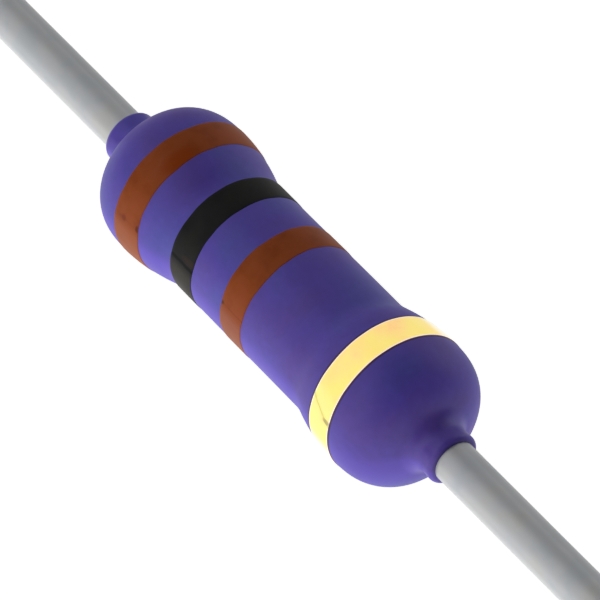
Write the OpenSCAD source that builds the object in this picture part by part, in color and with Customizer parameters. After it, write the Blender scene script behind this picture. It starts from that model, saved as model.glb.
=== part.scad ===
// Axial film resistor, built up as the real one is: a ceramic rod carries a resistive film
// with a spiral trimming cut, a pressed cap and a welded lead close each end, and a lacquer
// coat with four painted colour bands covers all of it.
//
// All pieces are turned about X. The origin is the middle of the body, and the tolerance
// band is at the +X end.

/* [Ceramic rod] */
// Diameter of the ceramic rod
rod_diameter = 1.56; // [1.3:0.02:1.8]
// Length of the ceramic rod
rod_length = 5.8; // [5:0.1:7]
// Rounding of the rod's end edges
rod_edge_radius = 0.1; // [0.05:0.01:0.2]

/* [Resistive film] */
// Thickness of the film on the rod, drawn far thicker than a real film
film_thickness = 0.02; // [0.015:0.005:0.04]
// Width of the spiral trimming cut, measured along the rod
groove_width = 0.1; // [0.06:0.01:0.2]
// Advance of the spiral trimming cut in one turn
groove_pitch = 0.48; // [0.35:0.01:0.8]
// Uncut film between each cap's open edge and the nearest end of the cut
groove_land = 0.3; // [0.15:0.05:0.6]

/* [End caps] */
// Sheet thickness of the pressed caps
cap_wall = 0.15; // [0.12:0.01:0.2]
// Depth of a cap from its closed face to its open edge
cap_length = 1.25; // [0.9:0.05:1.5]

/* [Leads] */
// Diameter of the tinned lead wire
lead_diameter = 0.62; // [0.5:0.01:0.8]
// Length of wire that stands free of the coat at each end
lead_length = 28; // [5:1:35]
// How far the upset weld foot stands out around the wire
weld_foot_flare = 0.17; // [0.1:0.01:0.24]
// Thickness of the weld foot's rim on the cap
weld_foot_rim = 0.04; // [0.02:0.01:0.06]
// Length of the weld foot along the wire
weld_foot_length = 0.18; // [0.1:0.01:0.24]
// Chamfer of the wire's cut end
lead_chamfer = 0.05; // [0.02:0.01:0.1]

/* [Lacquer coat] */
// Lacquer over the film between the caps
coat_over_film = 0.162; // [0.12:0.002:0.2]
// Lacquer over the cap's side, at the crest of the bulge
coat_over_cap = 0.17; // [0.14:0.002:0.22]
// Lacquer in front of the cap's closed face
coat_over_face = 0.312; // [0.28:0.002:0.45]
// Distance from the crest of the bulge to the tip of the rounded end
dome_length = 0.912; // [0.8:0.002:1.1]
// Squareness of the rounded end: 2 is an ellipse, and more is squarer
dome_power = 2.5; // [2.2:0.1:3]
// How far the neck lies inboard of the cap's open edge
neck_setback = 0.305; // [0.2:0.01:0.45]
// Radius of the hollow between the waist and the bulge
neck_fillet = 0.3; // [0.1:0.05:0.6]
// Lacquer thickness of the collar around the wire, at its lip
collar_wall = 0.084; // [0.06:0.002:0.12]
// How much narrower the collar is behind its lip
collar_pinch = 0.006; // [0.002:0.002:0.02]
// Length of the collar from the tip of the rounded end to where it ends on the wire
collar_length = 0.406; // [0.38:0.002:0.6]
// Length over which the lip rounds off on to the wire
lip_length = 0.08; // [0.05:0.01:0.14]
// Radius of the hollow between the rounded end and the collar
collar_fillet = 0.27; // [0.2:0.01:0.34]

/* [Colour bands] */
// Width of each painted band
band_width = 0.485; // [0.35:0.005:0.55]
// Thickness of the paint
band_thickness = 0.015; // [0.01:0.005:0.03]
// Width over which the paint runs out to nothing at a band's edges
band_feather = 0.03; // [0.01:0.01:0.06]
// Distance of the first digit band's middle inboard of its bulge's crest
first_band_setback = 0.24; // [0.1:0.01:0.4]
// Distance of the tolerance band's middle inboard of its bulge's crest
tolerance_band_setback = 0.215; // [0.1:0.005:0.4]
// Distance between the middles of the two digit bands
digit_band_pitch = 1.084; // [0.8:0.002:1.2]
// Place of the multiplier band's middle along the body
multiplier_band_place = 0.01; // [-0.2:0.005:0.2]

/* [Hidden] */
$fn = 96;

// Radii, from the axis outwards
rod_radius = rod_diameter / 2;
film_radius = rod_radius + film_thickness;
cap_radius = film_radius + cap_wall;
lead_radius = lead_diameter / 2;
foot_radius = lead_radius + weld_foot_flare;
lip_radius = lead_radius + collar_wall;
collar_radius = lip_radius - collar_pinch;
waist_radius = film_radius + coat_over_film;
crest_radius = cap_radius + coat_over_cap;

// Places along the body, from the middle outwards
rod_end = rod_length / 2;
film_end = rod_end + film_thickness;
cap_face = film_end + cap_wall;
cap_edge = cap_face - cap_length;
foot_rim = cap_face + weld_foot_rim;
foot_end = cap_face + weld_foot_length;
neck_place = cap_edge - neck_setback;
dome_tip = cap_face + coat_over_face;
crest_place = dome_tip - dome_length;
collar_end = dome_tip + collar_length;
lip_place = collar_end - lip_length;
lead_end = collar_end + lead_length;

// Steps along each curve of the outlines
corner_steps = 6;
neck_steps = 4;
bulge_steps = 10;
dome_steps = 16;
hollow_steps = 10;
lip_steps = 5;

// Steps in one turn of the spiral cut, and how far its cutter passes the film
cut_steps = 24;
cut_reach = 0.1;

// Outlines are lists of [along, radius] points.
function reversed(path) = [for (i = [len(path) - 1:-1:0]) path[i]];
function mirrored(path) = [for (p = reversed(path)) [-p[0], p[1]]];
function without_first(path) = [for (i = [1:len(path) - 1]) path[i]];

function arc(centre, radius, first, last, steps) =
    [for (i = [0:steps])
        let (a = first + (last - first) * i / steps)
        centre + radius * [cos(a), sin(a)]];

// End of a round bar, from the axis to its side past a rounded edge
function bar_end(place, radius, corner) =
    concat([[place, 0]],
           arc([place - corner, radius - corner], corner, 0, 90, corner_steps));

// Rod, film and cap nest, so each corner is the one inside it grown by a wall.
film_corner = rod_edge_radius + film_thickness;
cap_corner = film_corner + cap_wall;
rod_outline = bar_end(rod_end, rod_radius, rod_edge_radius);
film_outline = bar_end(film_end, film_radius, film_corner);
cap_outline = bar_end(cap_face, cap_radius, cap_corner);

// Weld foot: a thin rim on the cap's face, then a quarter hollow that runs out on the wire
foot_outline = concat(
    [[cap_face, foot_radius]],
    [for (i = [0:corner_steps])
        let (a = 90 * i / corner_steps)
        [foot_rim + (foot_end - foot_rim) * (1 - cos(a)),
         foot_radius - (foot_radius - lead_radius) * sin(a)]]);

// The bulge is an arc that rises from the neck and is level at the crest. The neck's hollow
// touches both it and the waist, so the two centres lie the sum of the radii apart.
bulge_run = crest_place - neck_place;
bulge_rise = crest_radius - waist_radius;
bulge_radius = (bulge_run * bulge_run + bulge_rise * bulge_rise) / (2 * bulge_rise);
bulge_centre = [crest_place, crest_radius - bulge_radius];
neck_height = waist_radius + neck_fillet - bulge_centre[1];
neck_run = sqrt(pow(bulge_radius + neck_fillet, 2) - pow(neck_height, 2));
neck_centre = [crest_place - neck_run, waist_radius + neck_fillet];
neck_angle = atan2(neck_height, -neck_run);

// The rounded end is a superellipse, by an angle that is 0 at the crest and 90 at the tip.
function dome_point(a) =
    [crest_place + dome_length * pow(sin(a), 2 / dome_power),
     crest_radius * pow(cos(a), 2 / dome_power)];
function dome_normal(a) =
    let (slope = 2 - 2 / dome_power,
         n = [pow(sin(a), slope) / dome_length, pow(cos(a), slope) / crest_radius])
    n / norm(n);

// The collar's hollow touches the rounded end where its centre has the right height above
// the collar. That height falls with the angle, so the angle is found by halving.
function hollow_centre(a) = dome_point(a) + collar_fillet * dome_normal(a);
function touch_angle(low, high, rounds) =
    let (middle = (low + high) / 2)
    rounds == 0 ? middle
    : hollow_centre(middle)[1] > collar_radius + collar_fillet
        ? touch_angle(middle, high, rounds - 1)
        : touch_angle(low, middle, rounds - 1);
dome_last = touch_angle(0, 90, 30);
hollow_normal = -dome_normal(dome_last);
hollow_first = atan2(hollow_normal[1], hollow_normal[0]);

// Outside of the coat, from the waist to the lip where the collar ends on the wire
coat_outline = concat(
    arc(neck_centre, neck_fillet, -90, neck_angle - 180, neck_steps),
    without_first(arc(bulge_centre, bulge_radius, neck_angle, 90, bulge_steps)),
    [for (i = [1:dome_steps]) dome_point(dome_last * i / dome_steps)],
    without_first(
        arc(hollow_centre(dome_last), collar_fillet, hollow_first, -90, hollow_steps)),
    [for (i = [0:lip_steps - 1])
        let (a = 90 * i / lip_steps)
        [lip_place + lip_length * sin(a), lead_radius + collar_wall * cos(a)]]);
coat_surface = concat(mirrored(coat_outline), coat_outline);

// Inside of the coat, over the film, the cap, the weld foot and the wire
coat_lining = concat(
    [[cap_edge, film_radius], [cap_edge, cap_radius]],
    reversed(without_first(cap_outline)),
    foot_outline,
    [[collar_end, lead_radius]]);

// A closed outline turned about X
module turned(outline) {
    rotate([0, 90, 0])
        rotate_extrude()
            polygon([for (p = outline) [p[1], p[0]]]);
}

module at_left() {
    mirror([1, 0, 0])
        children();
}

module ceramic_rod() {
    color("ivory")
        turned(concat(rod_outline, mirrored(rod_outline)));
}

// Ribbon that winds along the film and crosses it from inside to outside
module spiral_cutter() {
    run = 2 * (cap_edge - groove_land) - groove_width;
    turns = run / groove_pitch;
    steps = ceil(turns * cut_steps);
    side = groove_width / 2;
    inner = rod_radius - cut_reach;
    outer = film_radius + cut_reach;
    section = [[-side, inner], [-side, outer], [side, outer], [side, inner]];
    points = [for (i = [0:steps], corner = section)
        let (a = 360 * turns * i / steps, place = run * (i / steps - 0.5))
        [place + corner[0], corner[1] * cos(a), corner[1] * sin(a)]];
    walls = [for (i = [0:steps - 1], k = [0:3])
        let (here = 4 * i + k, next = 4 * i + (k + 1) % 4)
        each [[here, next, here + 4], [next, next + 4, here + 4]]];
    ends = [[3, 2, 1, 0], [for (k = [0:3]) 4 * steps + k]];
    polyhedron(points, concat(walls, ends));
}

module resistive_film() {
    color("dimgray")
        difference() {
            turned(concat(film_outline, mirrored(film_outline),
                          reversed(mirrored(rod_outline)), reversed(rod_outline)));
            spiral_cutter();
        }
}

module right_end_cap() {
    color("silver")
        turned(concat(cap_outline, [[cap_edge, cap_radius], [cap_edge, film_radius]],
                      reversed(film_outline)));
}

module left_end_cap() {
    at_left()
        right_end_cap();
}

module right_lead() {
    color("lightgray")
        turned(concat([[cap_face, 0]], foot_outline,
                      [[lead_end - lead_chamfer, lead_radius],
                       [lead_end, lead_radius - lead_chamfer],
                       [lead_end, 0]]));
}

module left_lead() {
    at_left()
        right_lead();
}

module lacquer_coat() {
    color("darkslateblue")
        turned(concat(coat_surface,
                      reversed(concat(mirrored(coat_lining), coat_lining))));
}

// A ring of paint that lies on the coat and thins out at both edges
module band(middle) {
    first = middle - band_width / 2;
    last = middle + band_width / 2;
    bends = [for (p = coat_surface) if (p[0] > first && p[0] < last) p[0]];
    full = concat([first + band_feather],
                  [for (b = bends)
                      if (b > first + band_feather && b < last - band_feather) b],
                  [last - band_feather]);
    under = [for (b = concat([first], bends, [last])) [b, lookup(b, coat_surface)]];
    over = [for (b = full) [b, lookup(b, coat_surface) + band_thickness]];
    turned(concat(over, reversed(under)));
}

module first_digit_band() {
    color("saddlebrown")
        band(first_band_setback - crest_place);
}

module second_digit_band() {
    color("black")
        band(first_band_setback - crest_place + digit_band_pitch);
}

module multiplier_band() {
    color("saddlebrown")
        band(multiplier_band_place);
}

module tolerance_band() {
    color("gold")
        band(crest_place - tolerance_band_setback);
}

ceramic_rod();
resistive_film();
left_end_cap();
right_end_cap();
left_lead();
right_lead();
lacquer_coat();
first_digit_band();
second_digit_band();
multiplier_band();
tolerance_band();
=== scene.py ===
import math

import bmesh
import bpy
import numpy as np
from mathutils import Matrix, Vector


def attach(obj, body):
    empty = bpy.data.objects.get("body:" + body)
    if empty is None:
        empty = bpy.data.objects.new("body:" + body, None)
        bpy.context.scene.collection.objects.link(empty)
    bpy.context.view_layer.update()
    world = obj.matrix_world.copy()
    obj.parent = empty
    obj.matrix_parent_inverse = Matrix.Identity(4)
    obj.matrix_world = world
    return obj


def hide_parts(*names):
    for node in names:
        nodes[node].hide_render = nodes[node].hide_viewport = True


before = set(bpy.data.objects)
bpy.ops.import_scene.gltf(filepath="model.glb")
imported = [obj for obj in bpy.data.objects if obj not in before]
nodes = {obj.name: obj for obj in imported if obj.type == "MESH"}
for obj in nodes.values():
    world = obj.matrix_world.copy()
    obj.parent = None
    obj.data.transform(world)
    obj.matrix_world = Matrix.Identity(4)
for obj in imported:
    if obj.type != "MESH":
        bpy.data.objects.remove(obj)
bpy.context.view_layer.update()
mm = 0.001  # the frame is in metres, and the values below are in mm unless they say otherwise
closingAngle = -120  # degrees: every turned surface closes on the side away from the camera
noiseRange = {"From Min": 0.3, "From Max": 0.7}  # between these lie nearly all values of a noise
print("frame loaded,", len(nodes), "solids")


def linear(hexColour):
    # sRGB to linear light: c / 12.92 up to 0.04045, and ((c + 0.055) / 1.055) ^ 2.4 above it
    c = np.array([int(hexColour[k:k + 2], 16) for k in (1, 3, 5)]) / 255
    c = np.where(c <= 0.04045, c / 12.92, ((c + 0.055) / 1.055) ** 2.4)
    return (*(float(v) for v in c), 1.0)


def addNode(tree, kind, inputs=None, **settings):
    # one node: settings are its properties, and each input is a plain value or the socket that feeds it
    node = tree.nodes.new(kind)
    for key, value in settings.items():
        setattr(node, key, value)
    for key, value in (inputs or {}).items():
        if isinstance(value, bpy.types.NodeSocket):
            tree.links.new(value, node.inputs[key])
        else:
            node.inputs[key].default_value = value
    return node


def newMaterial(name):
    # an empty material, its tree to add nodes to, and the place on the object that patterns read
    material = bpy.data.materials.new(name)
    material.use_nodes = True
    tree = material.node_tree
    tree.nodes.clear()
    return material, tree, addNode(tree, "ShaderNodeTexCoord").outputs["Object"]


def finishMaterial(tree, inputs):
    # the one shader of a material, fed by these inputs
    shader = addNode(tree, "ShaderNodeBsdfPrincipled", inputs)
    addNode(tree, "ShaderNodeOutputMaterial", {"Surface": shader.outputs[0]})


def turnedPlace(tree):
    # from a turned piece's own map: the share across a band (mm along a lead), and the share of a turn
    uv = addNode(tree, "ShaderNodeUVMap", uv_map="turned").outputs["UV"]
    apart = addNode(tree, "ShaderNodeSeparateXYZ", {0: uv})
    return apart.outputs["X"], apart.outputs["Y"]


def clouded(tree, place, look, detail, coarseness=0.5):
    # a colour that drifts through three tones in clouds of the look's size, and the noise behind it
    noise = addNode(tree, "ShaderNodeTexNoise", {
        "Vector": place, "Scale": 1 / (look["cloud"] * mm), "Detail": detail,
        "Roughness": coarseness}).outputs["Fac"]
    tone = addNode(tree, "ShaderNodeValToRGB", {"Fac": noise})
    ramp = tone.color_ramp
    ramp.elements.new(1.0)  # a new ramp has two stops
    for element, (stop, hexColour) in zip(ramp.elements, look["tones"]):
        element.position = stop
        element.color = linear(hexColour)
    return tone.outputs["Color"], noise


def layered(tree, colour, layers):
    # layers of (share, colour), each of which covers what lies under it by its share
    for share, hexColour in layers:
        colour = addNode(tree, "ShaderNodeMix", {0: share, 6: colour, 7: linear(hexColour)},
                         data_type="RGBA").outputs[2]
    return colour


def distance(tree, value, place):
    # |value - place|
    off = addNode(tree, "ShaderNodeMath", {0: value, 1: place}, operation="SUBTRACT")
    return addNode(tree, "ShaderNodeMath", {0: off.outputs[0]}, operation="ABSOLUTE").outputs[0]


def patch(tree, across, turn, place, size, share=1.0):
    # A soft-edged oval mark on a turned piece, as much as share at its place and 0 at its size from
    # there: ((across - place) / size, (turn - place) / size) has a length, over which it fades. A
    # size of many widths across lets a mark take in the whole width.
    heart = 0.35  # the part of its size that is marked in full
    u = addNode(tree, "ShaderNodeMath", {0: across, 1: place[0]}, operation="SUBTRACT")
    u = addNode(tree, "ShaderNodeMath", {0: u.outputs[0], 1: 1 / size[0]}, operation="MULTIPLY")
    v = addNode(tree, "ShaderNodeMath", {0: turn, 1: place[1]}, operation="SUBTRACT")
    v = addNode(tree, "ShaderNodeMath", {0: v.outputs[0], 1: 1 / size[1]}, operation="MULTIPLY")
    far = addNode(tree, "ShaderNodeCombineXYZ", {"X": u.outputs[0], "Y": v.outputs[0]})
    far = addNode(tree, "ShaderNodeVectorMath", {0: far.outputs[0]}, operation="LENGTH")
    return addNode(tree, "ShaderNodeMapRange", {
        "Value": far.outputs["Value"], "From Min": heart, "From Max": 1.0, "To Min": share, "To Max": 0.0},
        interpolation_type="SMOOTHSTEP").outputs["Result"]


def pastSeam(tree, place, across, turn, look):
    # How far past the seam a point lies, in shares of a turn: turn - start - slant * across, plus a
    # noise that makes the seam waver by as much to each side.
    start, slant, _ = look["seam"]
    size, reach, detail = look["waver"]
    noise = addNode(tree, "ShaderNodeTexNoise", {
        "Vector": place, "Scale": 1 / (size * mm), "Detail": detail})
    waver = addNode(tree, "ShaderNodeMath", {
        0: noise.outputs["Fac"], 1: reach, 2: -reach / 2 - start}, operation="MULTIPLY_ADD")
    lean = addNode(tree, "ShaderNodeMath", {
        0: across, 1: -slant, 2: waver.outputs[0]}, operation="MULTIPLY_ADD")
    return addNode(tree, "ShaderNodeMath", {0: turn, 1: lean.outputs[0]}, operation="ADD").outputs[0]


def spread(a, b, steps):
    # steps equal intervals from a to b, both ends included
    return np.linspace(a, b, steps + 1)


def arc(x, y, radius, first, last, steps):
    # circle about (x, y): (x + radius cos a, y + radius sin a), a in degrees from first to last
    a = np.radians(spread(first, last, steps))
    return np.stack([x + radius * np.cos(a), y + radius * np.sin(a)], -1)


def waves(x, t, parts):
    # the sum of size * cos(count * t + pitch * x + start), with one such part for each wave
    return sum(size * np.cos(count * t + pitch * x + start) for size, count, pitch, start in parts)


def turned(x, r, t):
    # (x, -r sin t, r cos t): angle 0 is up, and 90 degrees faces -Y
    x, r, t = np.broadcast_arrays(x, r, t)
    return np.stack([x, -r * np.sin(t), r * np.cos(t)], -1)


def turns(count):
    # angles once round from where the surface closes, and the share of the turn at each
    share = spread(0, 1, count)
    return np.radians(closingAngle + 360 * share)[None, :], share[None, :]


def gridPiece(name, points, across, share, material, node):
    # A surface of two parameters: points is a grid of rows by columns, in mm, and every four
    # neighbours make a face. Rows or columns that meet are merged, which closes seams and poles.
    rows, columns = points.shape[:2]
    here = (np.arange(rows - 1)[:, None] * columns + np.arange(columns - 1)[None, :]).reshape(-1)
    quads = np.stack([here, here + 1, here + columns + 1, here + columns], -1)
    mesh = bpy.data.meshes.new(name)
    mesh.from_pydata(points.reshape(-1, 3) * mm, [], quads)
    uv = np.stack(np.broadcast_arrays(across, share), -1)
    layer = mesh.uv_layers.new(name="turned")
    layer.data.foreach_set("uv", uv.reshape(-1, 2)[quads.reshape(-1)].astype(np.float32).reshape(-1))
    built = bmesh.new()
    built.from_mesh(mesh)
    bmesh.ops.remove_doubles(built, verts=built.verts, dist=1e-7)  # a tenth of a micrometre
    built.to_mesh(mesh)
    built.free()
    mesh.polygons.foreach_set("use_smooth", np.ones(len(mesh.polygons), bool))
    mesh.materials.append(material)
    piece = bpy.data.objects.new(name, mesh)
    bpy.context.scene.collection.objects.link(piece)
    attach(piece, "root")
    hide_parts(node)
    print(name, len(mesh.polygons), "faces")


def standOff(name, data, azimuth, elevation, reach, aim=(0, 0, 0)):
    # A camera or a lamp that faces its aim from reach away, at aim + reach * (sin a cos e,
    # -cos a cos e, sin e): azimuth 0 stands at -Y and 90 at +X, in degrees.
    a, e = math.radians(azimuth), math.radians(elevation)
    way = Vector((math.sin(a) * math.cos(e), -math.cos(a) * math.cos(e), math.sin(e)))
    thing = bpy.data.objects.new(name, data)
    thing.location = (Vector(aim) + way * reach) * mm
    thing.rotation_mode = "QUATERNION"
    thing.rotation_quaternion = (-way).to_track_quat("-Z", "Y")
    bpy.context.scene.collection.objects.link(thing)
    return thing


camera = {
    "aim": (0.1350, 0.0939, -0.0336),  # a little off the body's middle
    "azimuth": 54.74,  # degrees
    "elevation": 45.0,
    "distance": 139.0,
    "lens": 624.0,
    "sensor": 36,
    "clip": (0.01, 20),  # metres
}


def placeCamera():
    # a long lens from far off, so that the body hardly tapers
    lens = bpy.data.cameras.new("portrait")
    lens.lens = camera["lens"]
    lens.sensor_width = camera["sensor"]
    lens.clip_start, lens.clip_end = camera["clip"]
    bpy.context.scene.camera = standOff("portrait", lens, camera["azimuth"], camera["elevation"],
                                        camera["distance"], camera["aim"])


placeCamera()
print("camera placed")

# the hidden solids' outlines, which the coat's lining and the leads' feet follow
core = {
    "filmRadius": 0.80,
    "capRadius": 0.95,
    "capEdge": 1.82,
    "capFace": 3.07,
    "capCorner": 0.27,
    "footRadius": 0.48,
    "footRim": 3.11,
    "footEnd": 3.25,
    "wireRadius": 0.31,
}

coat = {
    "waistRadius": 0.962,
    "crestRadius": 1.120,
    "crestPlace": 2.470,  # from the middle
    "neckPlace": 1.515,
    "neckFillet": 0.80,  # softer than the solid's 0.30, and the surface lies under 0.01 off it
    "domeLength": 0.912,
    "domePower": 2.5,  # 2 would be an ellipse
    "collarRadius": 0.388,
    "collarFillet": 0.27,
    "collarLength": 0.406,
    "lipRadius": 0.394,
    "lipLength": 0.08,
    "swell": 0.004,  # how uneven the dipping leaves the surface
    # each wave's size, how many go round the body, radians a mm along it, and start
    "swellWaves": [(1.0, 2, 1.1, 0.4), (0.7, 3, -0.9, 2.1), (0.5, 1, 2.3, -1.0)],
    "calm": (0.1, 0.5),  # the swell ends so far before the dome's tip, and fades over so much
    "around": 256,  # faces round the body
    "steps": {"waist": 30, "neck": 8, "bulge": 26, "dome": 48, "collar": 24, "lip": 14, "lining": 6},
}


def domePoint(a):
    # superellipse: (crest + length sin(a)^(2/p), crest radius cos(a)^(2/p))
    p = 2 / coat["domePower"]
    return np.stack([coat["crestPlace"] + coat["domeLength"] * np.sin(a) ** p,
                     coat["crestRadius"] * np.cos(a) ** p], -1)


def domeNormal(a):
    # its outward direction: (sin(a)^(2-2/p) / length, cos(a)^(2-2/p) / crest radius), made unit
    p = 2 - 2 / coat["domePower"]
    n = np.stack([np.sin(a) ** p / coat["domeLength"], np.cos(a) ** p / coat["crestRadius"]], -1)
    return n / np.linalg.norm(n, axis=-1, keepdims=True)


def coatOutline():
    # From the middle of the waist to the lip on the wire: level waist, hollow neck, bulge arc that
    # is level at the crest, superelliptic dome, hollow collar, and a quarter ellipse for the lip.
    c, steps = coat, coat["steps"]
    run, rise = c["crestPlace"] - c["neckPlace"], c["crestRadius"] - c["waistRadius"]
    bulge = (run * run + rise * rise) / (2 * rise)
    height = c["waistRadius"] + c["neckFillet"] - (c["crestRadius"] - bulge)
    reach = math.sqrt((bulge + c["neckFillet"]) ** 2 - height ** 2)
    turn = math.degrees(math.atan2(height, -reach))
    low, high = 0.0, math.pi / 2
    for _ in range(40):  # by halves: the hollow touches the dome where its centre has the right height
        a = (low + high) / 2
        centre = domePoint(a) + c["collarFillet"] * domeNormal(a)
        low, high = (a, high) if centre[1] > c["collarRadius"] + c["collarFillet"] else (low, a)
    n = -domeNormal(a)
    leave = math.degrees(math.atan2(n[1], n[0]))
    lipPlace = c["crestPlace"] + c["domeLength"] + c["collarLength"] - c["lipLength"]
    lip = np.radians(spread(0, 90, steps["lip"]))
    waist = spread(0, c["crestPlace"] - reach, steps["waist"])
    return np.vstack([
        np.stack([waist, np.full_like(waist, c["waistRadius"])], -1),
        arc(c["crestPlace"] - reach, c["waistRadius"] + c["neckFillet"], c["neckFillet"],
            -90, turn - 180, steps["neck"])[1:],
        arc(c["crestPlace"], c["crestRadius"] - bulge, bulge, turn, 90, steps["bulge"])[1:],
        domePoint(spread(0, a, steps["dome"]))[1:],
        arc(*centre, c["collarFillet"], leave, -90, steps["collar"])[1:],
        np.stack([lipPlace + c["lipLength"] * np.sin(lip),
                  core["wireRadius"] + (c["lipRadius"] - core["wireRadius"]) * np.cos(lip)], -1)])


halfOutline = coatOutline()
outline = np.vstack([halfOutline[:0:-1] * (-1, 1), halfOutline])
domeTip = coat["crestPlace"] + coat["domeLength"]
coatEnd = domeTip + coat["collarLength"]


def swell(x, t):
    # slow waves in the lacquer's thickness, times a smooth step s * s * (3 - 2 s) down to the collars
    ends, fades = coat["calm"]
    s = np.clip((domeTip - ends - np.abs(x)) / fades, 0, 1)
    return coat["swell"] * waves(x, t, coat["swellWaves"]) * s * s * (3 - 2 * s)


def coatRadius(x, t):
    # radius of the coat's outside at place x and angle t
    return np.interp(x, outline[:, 0], outline[:, 1]) + swell(x, t)


def footProfile(steps):
    # the weld foot's shoulder, a quarter ellipse from its rim down to the wire: places and radii
    a = np.radians(spread(0, 90, steps))
    return (core["footRim"] + (core["footEnd"] - core["footRim"]) * (1 - np.cos(a)),
            core["footRadius"] - (core["footRadius"] - core["wireRadius"]) * np.sin(a))


def coatPiece(material):
    # the coat's outline turned about X, and back through its lining on the film, caps and weld feet
    steps = coat["steps"]["lining"]
    corner = arc(core["capFace"] - core["capCorner"], core["capRadius"] - core["capCorner"],
                 core["capCorner"], 90, 0, steps)
    half = np.vstack([
        [[core["capEdge"], core["filmRadius"]], [core["capEdge"], core["capRadius"]]], corner,
        [[core["capFace"], core["footRadius"]]],
        np.stack(footProfile(steps), -1)])
    lining = np.vstack([half[::-1], half * (-1, 1), outline[:1]])
    t, share = turns(coat["around"])
    outside = turned(outline[:, :1], outline[:, 1:] + swell(outline[:, :1], t), t)
    points = np.concatenate([outside, turned(lining[:, :1], lining[:, 1:], t)])
    along = np.concatenate([outline[:, 0], lining[:, 0]])[:, None]
    gridPiece("lacquerCoat", points, along, share, material, "lacquer_coat")


bands = {
    "width": 0.485,
    "paint": 0.007,  # thickness at the middle of a band
    "feather": 0.05,  # over this it runs out
    "sunk": 0.003,  # by this its underside lies in the lacquer
    "around": 384,  # faces round a band
    "steps": 36,  # faces across it
    # each wave of the ragged edge: its share, how many go round the body, and its start in seeds
    "raggedWaves": [(0.6, 2, 1.0), (0.5, 5, 2.3), (0.35, 11, 4.1), (0.2, 23, 7.7)],
    "otherEdge": 1.7,  # added to the seed for a band's +X edge
    "printed": {
        # by node: name, place, how ragged, seed of the ragged edge, slot
        "first_digit_band": ("firstBand", -2.230, 0.008, 0.3, "brown_paint"),
        "second_digit_band": ("secondBand", -1.146, 0.006, 1.1, "black_paint"),
        "multiplier_band": ("thirdBand", 0.010, 0.008, 2.6, "brown_paint"),
        "tolerance_band": ("goldBand", 2.255, 0.003, 4.2, "gold_paint"),
    },
}


def raggedEdge(t, size, seed):
    # how far a painted edge wanders at angle t: size * the sum of share * cos(count * t + start * seed)
    return size * waves(0, t, [(share, count, 0, start * seed)
                               for share, count, start in bands["raggedWaves"]])


def bandPiece(node, material):
    # Across the band the paint's height is paint * (1 - (1 - d / feather)^2)^0.5, with d the
    # distance to the nearest edge, and then the underside goes back through the lacquer.
    b = bands
    name, place, ragged, seed, slot = b["printed"][node]
    t, share = turns(b["around"])
    first = place - b["width"] / 2 + raggedEdge(t, ragged, seed)
    last = place + b["width"] / 2 + raggedEdge(t, ragged, seed + b["otherEdge"])
    across = 0.5 - 0.5 * np.cos(np.pi * spread(0, 1, b["steps"]))[:, None]
    x = first + (last - first) * across
    d = np.minimum(x - first, last - x) / b["feather"]
    height = b["paint"] * np.sqrt(np.clip(1 - np.clip(1 - d, 0, 1) ** 2, 0, 1))
    over = turned(x, coatRadius(x, t) + height - b["sunk"] * (d <= 0), t)
    under = turned(x, coatRadius(x, t) - b["sunk"], t)[::-1]
    points = np.concatenate([over, under[1:]])
    there = np.concatenate([across, across[-2::-1]])
    gridPiece(name, points, there, share, material, node)


lead = {
    "end": 31.788,
    "chamfer": 0.05,
    "endRing": 0.12,  # a ring of faces inside the cut end, so that its shading stays flat
    "wave": 0.0006,  # unevenness of the tin
    # as the coat's waves, but each start is multiplied by the lead's side
    "waves": [(1.0, 2, 0.9, 1), (0.6, 3, -2.1, 0), (0.5, 0, 4.7, 1)],
    "calm": 0.3,  # over this the unevenness fades at each end
    "around": 96,  # faces round the wire
    "steps": {"foot": 8, "wire": 240, "tip": 6},
}


def leadPiece(name, side, node, material):
    # Outline from the axis at the cap over the weld foot and along the wire to its cut end, whose
    # edge is a quarter round. The radius wavers by slow waves along and round the wire.
    w, radius, steps = lead, core["wireRadius"], lead["steps"]
    shaftEnd = w["end"] - w["chamfer"]
    tip = np.radians(spread(90, 0, steps["tip"]))
    footX, footR = footProfile(steps["foot"])
    shaft = spread(core["footEnd"], shaftEnd, steps["wire"])[1:-1]
    x = np.concatenate([[core["capFace"], core["capFace"]], footX, shaft,
                        shaftEnd + w["chamfer"] * np.cos(tip), [w["end"], w["end"]]])[:, None]
    r = np.concatenate([[0, core["footRadius"]], footR, np.full_like(shaft, radius),
                        radius - w["chamfer"] + w["chamfer"] * np.sin(tip), [w["endRing"], 0]])[:, None]
    t, share = turns(w["around"])
    free = np.clip((x - core["footEnd"]) / w["calm"], 0, 1) * np.clip((w["end"] - x) / w["calm"], 0, 1)
    uneven = [(size, count, pitch, start * side) for size, count, pitch, start in w["waves"]]
    points = turned(side * x, r + w["wave"] * waves(x, t, uneven) * free, t)
    if side < 0:  # the other way round, so that the faces still point outwards
        points = points[::-1]
        x = x[::-1]
    gridPiece(name, points, x, share, material, node)


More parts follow.
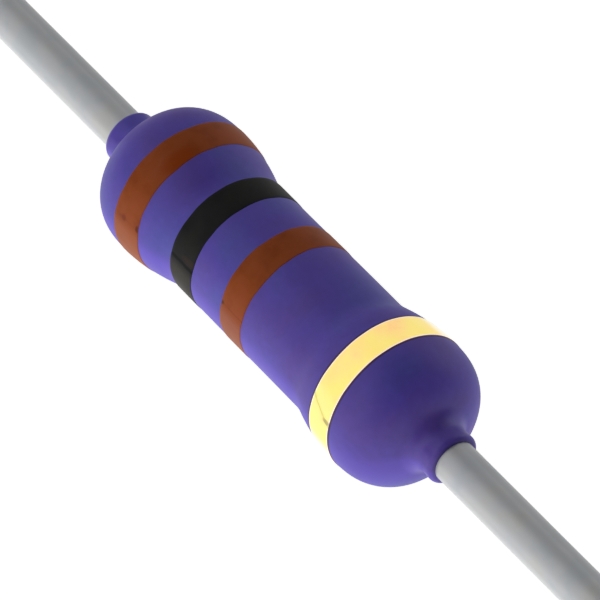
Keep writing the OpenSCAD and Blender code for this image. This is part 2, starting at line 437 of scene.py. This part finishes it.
lacquerLook = {
    "cloud": 1.1,  # across a cloud
    "tones": [(0.36, "#625DC9"), (0.50, "#6957CB"), (0.66, "#6D55BE")],  # bluer, main and redder
    "mottle": 0.12,  # across the finer mottle
    "mottleShade": (0.96, 1.04),
    "roughness": 0.37,  # where it is smoothest
    "cloudRoughness": 0.16,  # what the clouds add at most
    "collarRoughness": 0.23,  # smoother still where surface tension drew it up the wire
    "drawnUp": (3.0, 3.6),  # from the middle, where that starts and is full
    "gloss": 0.34,
    "low": "#755FE3",  # painted light: a paler, bluer strip along the lit lower side
    "litStripPlace": (0.56, 0.61, 0.69, 0.76),  # shares of a turn: where that starts, is full, wanes and ends
    "litStripFade": (2.2, 2.9, 0.5),  # from where to where along it wanes on the bulge, and the share left
    "margin": "#40243F",  # a dark margin just outside the gold band's edges
    "marginPlace": (0.0015, 0.022),  # how far inside the band's edge it starts, and its width
    "marginShare": 0.7,
    "lip": "#352E5C",  # painted shade in the hollow where the lacquer's lip meets the wire
    "lipPlace": (0.020, 0.004),  # how far before the lacquer's end it starts and is full
    "lipShadeShare": 0.4,
    "peel": 0.10,  # across a dimple of the orange peel
    "peelDepth": 0.0004,
}


def epoxyLacquer():
    # Baked epoxy lacquer, dipped: opaque violet with faint bluer and redder clouds where it ran
    # thicker, and a satin gloss that a fine orange peel breaks up and that sharpens at the collars.
    look = lacquerLook
    material, tree, place = newMaterial("bakedEpoxyLacquer")
    along = addNode(tree, "ShaderNodeSeparateXYZ", {0: place}).outputs["X"]
    fromMiddle = distance(tree, along, 0.0)
    turn = turnedPlace(tree)[1]
    tone, cloud = clouded(tree, place, look, 2.0)
    mottle = addNode(tree, "ShaderNodeTexNoise", {
        "Vector": place, "Scale": 1 / (look["mottle"] * mm), "Detail": 3.0})
    darkest, lightest = look["mottleShade"]
    shade = addNode(tree, "ShaderNodeMapRange", {
        "Value": mottle.outputs["Fac"], **noiseRange, "To Min": darkest, "To Max": lightest})
    colour = addNode(tree, "ShaderNodeVectorMath", {0: tone, "Scale": shade.outputs["Result"]},
                     operation="SCALE").outputs["Vector"]
    # Painted light: a paler, bluer strip along the lit side comes and goes round the body, and wanes along
    # it.
    starts, full, wanes, ends = look["litStripPlace"]
    comes = addNode(tree, "ShaderNodeMapRange", {"Value": turn, "From Min": starts, "From Max": full},
                    interpolation_type="SMOOTHSTEP")
    stays = addNode(tree, "ShaderNodeMapRange", {"Value": turn, "From Min": ends, "From Max": wanes},
                    interpolation_type="SMOOTHSTEP")
    strip = addNode(tree, "ShaderNodeMath", {
        0: comes.outputs[0], 1: stays.outputs[0]}, operation="MULTIPLY")
    near, far, left = look["litStripFade"]
    wane = addNode(tree, "ShaderNodeMapRange", {
        "Value": along, "From Min": near * mm, "From Max": far * mm, "To Min": 1.0, "To Max": left},
        interpolation_type="SMOOTHSTEP")
    strip = addNode(tree, "ShaderNodeMath", {
        0: strip.outputs[0], 1: wane.outputs[0]}, operation="MULTIPLY")
    # the dark margin is full at half its width past where it starts, and gone at one and a half
    inset, margin = look["marginPlace"]
    gold, half = bands["printed"]["tolerance_band"][1], bands["width"] / 2 - inset
    goldMargin = addNode(tree, "ShaderNodeMapRange", {
        "Value": distance(tree, along, gold * mm), "From Min": (half + margin * 0.5) * mm,
        "From Max": (half + margin * 1.5) * mm, "To Min": look["marginShare"], "To Max": 0.0},
        interpolation_type="SMOOTHSTEP")
    # painted shade on the lacquer's lip where it meets the wire
    start, end = look["lipPlace"]
    lip = addNode(tree, "ShaderNodeMapRange", {
        "Value": fromMiddle, "From Min": (coatEnd - start) * mm, "From Max": (coatEnd - end) * mm,
        "To Min": 0.0, "To Max": look["lipShadeShare"]}, interpolation_type="SMOOTHSTEP")
    # the painted lit strip, the dark margin by the gold, and the painted shade at the lip
    colour = layered(tree, colour, [(strip.outputs[0], look["low"]), (goldMargin.outputs[0], look["margin"]),
                                    (lip.outputs[0], look["lip"])])
    start, end = look["drawnUp"]
    smooth = addNode(tree, "ShaderNodeMapRange", {
        "Value": fromMiddle, "From Min": start * mm, "From Max": end * mm,
        "To Min": look["roughness"], "To Max": look["collarRoughness"]}, interpolation_type="SMOOTHSTEP")
    roughness = addNode(tree, "ShaderNodeMath", {
        0: cloud, 1: look["cloudRoughness"], 2: smooth.outputs[0]}, operation="MULTIPLY_ADD")
    peel = addNode(tree, "ShaderNodeTexNoise", {
        "Vector": place, "Scale": 1 / (look["peel"] * mm), "Detail": 1.0})
    bump = addNode(tree, "ShaderNodeBump", {
        "Height": peel.outputs["Fac"], "Strength": 1.0, "Distance": look["peelDepth"] * mm})
    finishMaterial(tree, {"Base Color": colour, "Roughness": roughness.outputs[0],
                          "Normal": bump.outputs["Normal"], "IOR": 1.5, "Specular IOR Level": look["gloss"]})
    return material


# what every printed enamel band has
enamelLook = {
    "cloud": 0.35,  # across a cloud
    "waver": (0.12, 0.004, 2.0),  # across a wave of the seam, its reach in shares of a turn, noise detail
    "thinStart": 0.03,  # shares of a turn past the seam over which the paint gets thin
    "thinEnd": 0.12,  # and full again
    "lineHeart": 0.3,  # the part of the seam's width that is dark in full
    "rim": (0.45, 0.5, 0.6),  # shares of the width from its middle where it runs thin, and how much
    "swing": 0.05,  # how far the roughness swings with the clouds
    "grain": 0.05,  # across a grain
    "grainDepth": 0.0003,
}
brownEnamel = {
    "tones": [(0.34, "#A24A18"), (0.50, "#AE531F"), (0.68, "#B2562A")],  # thick, main and thin
    "edge": "#96482E",
    "thin": 0.2,
    "roughness": 0.46,
    "gloss": 0.15,
}
paints = {
    # seam: where the printed band closes on itself, as a share of a turn at its -X edge, how much
    # further it is at the +X edge, and its width; line: the seam's colour; thinner and thin: the
    # paint's colour past the seam, and how far past it the paint stays thin;
    # marks: the place and size of each spot, across and round, then its colour and share
    "brownFirst": {
        **enamelLook, **brownEnamel,
        "thinner": "#B8633A",
        "line": "#6A2C10", "seam": (0.545, 0.008, 0.003), "lineShare": 0.08,
        "marks": [((0.80, 0.378), (0.42, 0.062), "#A84500", 0.85),
                  ((0.965, 0.551), (0.11, 0.011), "#5A1A08", 0.75),
                  ((0.41, 0.548), (0.12, 0.010), "#7E2C0C", 0.55)]},
    "brownMultiplier": {
        **enamelLook, **brownEnamel,
        "thinner": "#B46444",
        "line": "#7A3A18", "seam": (0.541, 0.004, 0.003), "lineShare": 0.3,
        "marks": [((0.05, 0.541), (0.10, 0.007), "#3E2A10", 0.75)]},
    "black": {
        **enamelLook,
        "tones": [(0.34, "#222223"), (0.50, "#272727"), (0.68, "#2B2C28")],
        "edge": "#28262C", "thin": 0.25, "roughness": 0.46, "gloss": 0.1,
        "thinner": "#423F3A",
        "line": "#030303", "seam": (0.5446, 0.0020, 0.0068), "lineShare": 1.0,
        "marks": [((0.8, 0.53), (0.5, 0.012), "#43302A", 0.5)]},
}


def bandEnamel(name, look):
    # Roller-printed enamel: even and satin, a shade thicker and thinner in places, and closed by
    # an overlap where the print meets itself. Past the overlap the paint is thin and paler.
    material, tree, place = newMaterial(name)
    across, turn = turnedPlace(tree)
    tone, cloud = clouded(tree, place, look, 3.0, 0.55)
    past = pastSeam(tree, place, across, turn, look)
    begun = addNode(tree, "ShaderNodeMapRange", {
        "Value": past, "From Min": 0.0, "From Max": look["thinStart"]}, interpolation_type="SMOOTHSTEP")
    ended = addNode(tree, "ShaderNodeMapRange", {
        "Value": past, "From Min": look["thin"], "From Max": look["thin"] + look["thinEnd"],
        "To Min": 1.0, "To Max": 0.0}, interpolation_type="SMOOTHSTEP")
    thin = addNode(tree, "ShaderNodeMath", {0: begun.outputs[0], 1: ended.outputs[0]}, operation="MULTIPLY")
    spots = [(patch(tree, across, turn, where, size, share), hexColour)
             for where, size, hexColour, share in look["marks"]]
    width = look["seam"][2]
    line = addNode(tree, "ShaderNodeMapRange", {
        "Value": distance(tree, past, 0.0), "From Min": width * look["lineHeart"], "From Max": width,
        "To Min": look["lineShare"], "To Max": 0.0}, interpolation_type="SMOOTHSTEP")
    # the paint runs thin over the last hundredths of a millimetre, and the violet dulls it
    start, end, most = look["rim"]
    rim = addNode(tree, "ShaderNodeMapRange", {
        "Value": distance(tree, across, 0.5), "From Min": start, "From Max": end,
        "To Min": 0.0, "To Max": most}, interpolation_type="SMOOTHSTEP")
    colour = layered(tree, tone, [(thin.outputs[0], look["thinner"]), *spots,
                                  (line.outputs[0], look["line"]), (rim.outputs[0], look["edge"])])
    roughness = addNode(tree, "ShaderNodeMapRange", {
        "Value": cloud, **noiseRange, "To Min": look["roughness"] - look["swing"],
        "To Max": look["roughness"] + look["swing"]})
    grain = addNode(tree, "ShaderNodeTexNoise", {
        "Vector": place, "Scale": 1 / (look["grain"] * mm), "Detail": 2.0})
    bump = addNode(tree, "ShaderNodeBump", {
        "Height": grain.outputs["Fac"], "Strength": 1.0, "Distance": look["grainDepth"] * mm})
    finishMaterial(tree, {"Base Color": colour, "Roughness": roughness.outputs["Result"],
                          "Normal": bump.outputs["Normal"], "IOR": 1.5, "Specular IOR Level": look["gloss"]})
    return material


goldLook = {
    "cloud": 0.45,  # across a cloud
    "tones": [(0.38, "#F6DF79"), (0.50, "#F9D97F"), (0.62, "#FACD82")],  # thin, main and thick flakes
    "flake": 0.03,  # across a flake; real ones are finer
    "flakeEdge": 0.8,  # the pattern's distance at a flake's edge
    "flakeDepth": 0.0005,
    "spark": (1.03, 0.96),  # how bright a flake is in its middle and at its edge
    "litLemon": "#F2E56A",  # painted light: yellower along the lit side, beside the lacquer's painted lit strip
    "litLemonPlace": (0.5, 0.6, 0.7),  # shares of a turn where that starts and is full, and how much
    "rimSheen": "#FFF6E0",  # painted sheen: two pale stretches where the band turns away at its sides
    "rimSheenPlaces": ((0.178, 0.06), (0.668, 0.075)),  # shares of a turn: the middle and the reach of each
    "rimSheenWidth": 9.0,  # band widths
    "cream": "#FFE9CC",  # thin rim inside each edge
    "creamPlace": (0.425, 0.455),  # shares of the width from its middle, where it starts and is full
    "crack": "#9CB44A",  # greener than it looks: the paint is so bright that its red clips
    "crackShare": 0.6,
    "crackHeart": 0.2,  # the part of its width that is dark in full
    "seam": (0.5165, 0.0400, 0.0064),  # as in the enamel's
    "waver": (0.16, 0.012, 3.0),
    "blot": "#8E8A4C",  # where the crack opens
    "blotPlace": (0.84, 0.5485),
    "blotSize": (0.24, 0.0075),
    "blotShare": 0.8,
    "maroon": "#4A1E3A",  # dark margin along each edge
    "maroonPlace": (0.466, 0.478),
    "body": 0.8,  # share of its colour that is plain paint
    "glow": 0.85,  # light of its own, which real paint has not: it gets the photograph's brightness
    "varnish": 0.8,
    "varnishRoughness": 0.2,
    "roughness": 0.45,
    "gloss": 0.3,
}


def bronzePaint():
    # Bronze-flake paint with a painted glow of its own, so that it looks bright where the lacquer beside it
    # is in shade. A cream rim and a fine dark margin edge it, and a wavering slanted crack at the print's
    # overlap widens to a blot at one edge. Its pale stretches are a painted sheen where the band turns away
    # at its sides, and its lemon side is painted light.
    look = goldLook
    material, tree, place = newMaterial("bronzeFlakePaint")
    across, turn = turnedPlace(tree)
    tone = clouded(tree, place, look, 3.0)[0]
    flake = addNode(tree, "ShaderNodeTexVoronoi", {
        "Vector": place, "Scale": 1 / (look["flake"] * mm)}).outputs["Distance"]
    bright, dull = look["spark"]
    spark = addNode(tree, "ShaderNodeMapRange", {
        "Value": flake, "From Min": 0.0, "From Max": look["flakeEdge"], "To Min": bright, "To Max": dull})
    colour = addNode(tree, "ShaderNodeVectorMath", {0: tone, "Scale": spark.outputs["Result"]},
                     operation="SCALE").outputs["Vector"]
    # painted light: the lit side turns lemon
    start, full, most = look["litLemonPlace"]
    low = addNode(tree, "ShaderNodeMapRange", {
        "Value": turn, "From Min": start, "From Max": full, "To Min": 0.0, "To Max": most},
        interpolation_type="SMOOTHSTEP")
    # painted sheen at the band's two sides
    rimSheens = [(patch(tree, across, turn, (0.5, middle), (look["rimSheenWidth"], reach)), look["rimSheen"])
                for middle, reach in look["rimSheenPlaces"]]
    fromCentre = distance(tree, across, 0.5)
    rim, edge = (addNode(tree, "ShaderNodeMapRange", {
        "Value": fromCentre, "From Min": start, "From Max": full}, interpolation_type="SMOOTHSTEP").outputs[0]
        for start, full in (look["creamPlace"], look["maroonPlace"]))
    width = look["seam"][2]
    crack = addNode(tree, "ShaderNodeMapRange", {
        "Value": distance(tree, pastSeam(tree, place, across, turn, look), 0.0),
        "From Min": width * look["crackHeart"], "From Max": width,
        "To Min": look["crackShare"], "To Max": 0.0}, interpolation_type="SMOOTHSTEP")
    blot = patch(tree, across, turn, look["blotPlace"], look["blotSize"], look["blotShare"])
    colour = layered(tree, colour, [
        (low.outputs[0], look["litLemon"]), *rimSheens, (rim, look["cream"]),
        (crack.outputs[0], look["crack"]), (blot, look["blot"]), (edge, look["maroon"])])
    body = addNode(tree, "ShaderNodeVectorMath", {0: colour, "Scale": look["body"]}, operation="SCALE")
    bump = addNode(tree, "ShaderNodeBump", {
        "Height": flake, "Strength": 1.0, "Distance": look["flakeDepth"] * mm})
    finishMaterial(tree, {"Base Color": body.outputs["Vector"], "Roughness": look["roughness"],
                          "Normal": bump.outputs["Normal"], "IOR": 1.5, "Specular IOR Level": look["gloss"],
                          "Coat Weight": look["varnish"], "Coat Roughness": look["varnishRoughness"],
                          "Emission Color": colour, "Emission Strength": look["glow"]})
    return material


tinLook = {
    "cloud": 0.5,  # across a patch of thicker tin
    "tones": [(0.35, "#DCDDDA"), (0.50, "#DEDFE1"), (0.65, "#DADEE1")],  # warmer, main and cooler
    "light": ("#F7F8F9", 0.675, 0.12),  # painted reflection: a lighter strip along its lit side: colour, then middle and reach in turns
    "dark": ("#CFD2D4", 0.262, 0.05),  # and a darker strip of painted shade on its dim side
    "roughness": 0.6,
    "swing": 0.05,  # how far the roughness swings with the patches
    "line": 0.05,  # between the marks that the drawing die left; real ones are finer
    "lineStretch": 0.03,  # their width as a share of their length
    "lineDepth": 0.0004,
}


def tinnedCopper():
    # Hot-tinned copper wire: a soft grey metal, rather matt, with slow patches of thicker tin and faint marks
    # along the wire from the drawing die. Its lighter strip is a painted reflection of the lit side, and its
    # darker strip is painted shade on its dim side.
    look = tinLook
    material, tree, place = newMaterial("tinnedCopper")
    turn = turnedPlace(tree)[1]
    tone, cloud = clouded(tree, place, look, 3.0)
    # the painted reflection on the lit side and the painted shade on the dim side
    colour = layered(tree, tone, [(patch(tree, 0.0, turn, (0.0, middle), (1.0, reach)), shade)
                                  for shade, middle, reach in (look["light"], look["dark"])])
    drawn = addNode(tree, "ShaderNodeMapping", {"Vector": place, "Scale": (look["lineStretch"], 1.0, 1.0)})
    lines = addNode(tree, "ShaderNodeTexNoise", {
        "Vector": drawn.outputs["Vector"], "Scale": 1 / (look["line"] * mm), "Detail": 2.0})
    roughness = addNode(tree, "ShaderNodeMapRange", {
        "Value": cloud, **noiseRange, "To Min": look["roughness"] - look["swing"],
        "To Max": look["roughness"] + look["swing"]})
    bump = addNode(tree, "ShaderNodeBump", {
        "Height": lines.outputs["Fac"], "Strength": 1.0, "Distance": look["lineDepth"] * mm})
    finishMaterial(tree, {"Base Color": colour, "Metallic": 1.0,
                          "Roughness": roughness.outputs["Result"], "Normal": bump.outputs["Normal"]})
    return material


# the hidden pieces' finishes
coreLook = {
    "alumina": {"light": "#EDE8DA", "dark": "#E2DCCB", "roughness": 0.7, "grain": 0.04, "depth": 0.001},
    "carbon": {"light": "#3A3C40", "dark": "#2B2C30", "roughness": 0.45, "cloud": 0.3, "sheen": 0.3},
    "plate": {"light": "#C4C4BE", "dark": "#B2B3AE", "roughness": 0.4, "line": 0.05, "stretch": 0.08,
              "depth": 0.0006},
}


def aluminaCeramic():
    # Fired alumina: off-white and chalky, with a grain of crystals a few hundredths of a mm across
    look = coreLook["alumina"]
    material, tree, place = newMaterial("firedAlumina")
    grain = addNode(tree, "ShaderNodeTexVoronoi", {
        "Vector": place, "Scale": 1 / (look["grain"] * mm)}).outputs["Distance"]
    colour = addNode(tree, "ShaderNodeMix", {
        0: grain, 6: linear(look["light"]), 7: linear(look["dark"])}, data_type="RGBA")
    bump = addNode(tree, "ShaderNodeBump", {
        "Height": grain, "Strength": 1.0, "Distance": look["depth"] * mm})
    finishMaterial(tree, {"Base Color": colour.outputs[2], "Roughness": look["roughness"],
                          "Normal": bump.outputs["Normal"], "IOR": 1.76})
    return material


def carbonFilm():
    # Pyrolysed carbon: a dark grey skin with a faint metallic sheen, clouded along the rod
    look = coreLook["carbon"]
    material, tree, place = newMaterial("carbonFilm")
    cloud = addNode(tree, "ShaderNodeTexNoise", {
        "Vector": place, "Scale": 1 / (look["cloud"] * mm), "Detail": 4.0})
    colour = addNode(tree, "ShaderNodeMix", {
        0: cloud.outputs["Fac"], 6: linear(look["light"]), 7: linear(look["dark"])}, data_type="RGBA")
    finishMaterial(tree, {"Base Color": colour.outputs[2], "Roughness": look["roughness"],
                          "Metallic": look["sheen"]})
    return material


def tinPlatedSteel():
    # Deep-drawn steel with a matt tin plate: pale grey, with drawing lines along the cap's side
    look = coreLook["plate"]
    material, tree, place = newMaterial("tinPlatedSteel")
    drawn = addNode(tree, "ShaderNodeMapping", {"Vector": place, "Scale": (look["stretch"], 1.0, 1.0)})
    lines = addNode(tree, "ShaderNodeTexNoise", {
        "Vector": drawn.outputs["Vector"], "Scale": 1 / (look["line"] * mm), "Detail": 3.0})
    colour = addNode(tree, "ShaderNodeMix", {
        0: lines.outputs["Fac"], 6: linear(look["light"]), 7: linear(look["dark"])}, data_type="RGBA")
    bump = addNode(tree, "ShaderNodeBump", {
        "Height": lines.outputs["Fac"], "Strength": 1.0, "Distance": look["depth"] * mm})
    finishMaterial(tree, {"Base Color": colour.outputs[2], "Roughness": look["roughness"],
                          "Metallic": 1.0, "Normal": bump.outputs["Normal"]})
    return material


coatPiece(epoxyLacquer())
for node, paint in {
    "first_digit_band": bandEnamel("brownEnamelFirst", paints["brownFirst"]),
    "second_digit_band": bandEnamel("blackEnamel", paints["black"]),
    "multiplier_band": bandEnamel("brownEnamelThird", paints["brownMultiplier"]),
    "tolerance_band": bronzePaint(),
}.items():
    bandPiece(node, paint)
tin = tinnedCopper()
leadPiece("leftLead", -1, "left_lead", tin)
leadPiece("rightLead", 1, "right_lead", tin)
plate = tinPlatedSteel()
for node, finish in {"ceramic_rod": aluminaCeramic(), "resistive_film": carbonFilm(),
                     "left_end_cap": plate, "right_end_cap": plate}.items():
    nodes[node].data.materials.clear()
    nodes[node].data.materials.append(finish)
print("core finished")

studio = {
    "floorDrop": 12.0,  # below the lead axis
    "floorSize": 4000.0,
    "floorColour": "#E8E8E6",
    "floorNear": (0.85, 0.79),  # what it throws back, and what a glossy surface sees of it, at -Y
    "floorFar": (0.64, 0.28),  # the same at +Y, away from the lamps
    "floorFade": 30.0,  # each way from the axis, over which the one turns into the other
    "floorWhite": 0.82,  # what the camera sees on top of the lamps' light on it
    "sky": 0.053,  # what a glossy surface sees of the studio's ceiling
}


def paleFloor():
    # Pale board, matt. Its own light for camera rays makes it white where nothing shades it, and
    # its light for the other rays is what it throws back on to the object, more on the lamps' side.
    look = studio
    material, tree, place = newMaterial("paleBoard")
    material.cycles.emission_sampling = "NONE"  # so that each kind of ray meets its own strength
    half, z = look["floorSize"] * mm / 2, -look["floorDrop"] * mm
    corners = [(-half, -half, z), (half, -half, z), (half, half, z), (-half, half, z)]
    mesh = bpy.data.meshes.new("floor")
    mesh.from_pydata(corners, [], [(0, 1, 2, 3)])
    mesh.materials.append(material)
    floor = bpy.data.objects.new("floor", mesh)
    bpy.context.scene.collection.objects.link(floor)
    path = addNode(tree, "ShaderNodeLightPath")
    board = addNode(tree, "ShaderNodeBsdfDiffuse", {"Color": linear(look["floorColour"])})
    across = addNode(tree, "ShaderNodeSeparateXYZ", {0: place}).outputs["Y"]
    fade = look["floorFade"] * mm
    thrown, seen = (addNode(tree, "ShaderNodeMapRange", {
        "Value": across, "From Min": -fade, "From Max": fade, "To Min": near, "To Max": far}).outputs[0]
        for near, far in zip(look["floorNear"], look["floorFar"]))
    level = addNode(tree, "ShaderNodeMix", {
        0: path.outputs["Is Glossy Ray"], 2: thrown, 3: seen}, data_type="FLOAT")
    level = addNode(tree, "ShaderNodeMix", {
        0: path.outputs["Is Camera Ray"], 2: level.outputs[0], 3: look["floorWhite"]}, data_type="FLOAT")
    glow = addNode(tree, "ShaderNodeEmission", {"Strength": level.outputs[0]})
    both = addNode(tree, "ShaderNodeAddShader", {0: board.outputs[0], 1: glow.outputs[0]})
    addNode(tree, "ShaderNodeOutputMaterial", {"Surface": both.outputs[0]})


def studioWorld():
    # White to the camera, and dim to every other ray, like an unlit studio ceiling
    world = bpy.data.worlds.new("studio")
    world.use_nodes = True
    tree = world.node_tree
    tree.nodes.clear()
    path = addNode(tree, "ShaderNodeLightPath")
    seen = addNode(tree, "ShaderNodeMath", {
        0: path.outputs["Is Glossy Ray"], 1: studio["sky"], 2: path.outputs["Is Camera Ray"]},
        operation="MULTIPLY_ADD")
    sky = addNode(tree, "ShaderNodeBackground", {"Strength": seen.outputs[0]})
    addNode(tree, "ShaderNodeOutputWorld", {"Surface": sky.outputs[0]})
    world.cycles.sampling_method = "NONE"
    bpy.context.scene.world = world


lamps = {
    "distance": 500.0,
    "across": 460.0,  # a round softbox
    "placed": {
        # azimuth and elevation in degrees, and radiance, of which 1 would look white
        "frontHigh": (0, 40, 0.469), "frontLow": (0, 8, 0.755), "cornerHigh": (315, 40, 0.519),
        "sideHigh": (270, 40, 0.260), "sideLow": (270, 8, 0.241), "farHigh": (225, 40, 0.208),
        "farLow": (225, 8, 0.211), "backHigh": (180, 40, 0.382), "backLow": (180, 8, 0.783)},
}


def softbox(name, azimuth, elevation, radiance):
    # A round softbox that faces the origin. A flat lamp of area A and radiance L gives pi A L watts.
    lamp = bpy.data.lights.new(name, "AREA")
    lamp.shape = "DISK"
    lamp.size = lamps["across"] * mm
    lamp.energy = math.pi * math.pi * lamp.size ** 2 / 4 * radiance
    standOff(name, lamp, azimuth, elevation, lamps["distance"]).visible_camera = False


paleFloor()
studioWorld()
for name, (azimuth, elevation, radiance) in lamps["placed"].items():
    softbox(name, azimuth, elevation, radiance)
bpy.context.scene.view_settings.view_transform = "Standard"
print("light and floor ready")
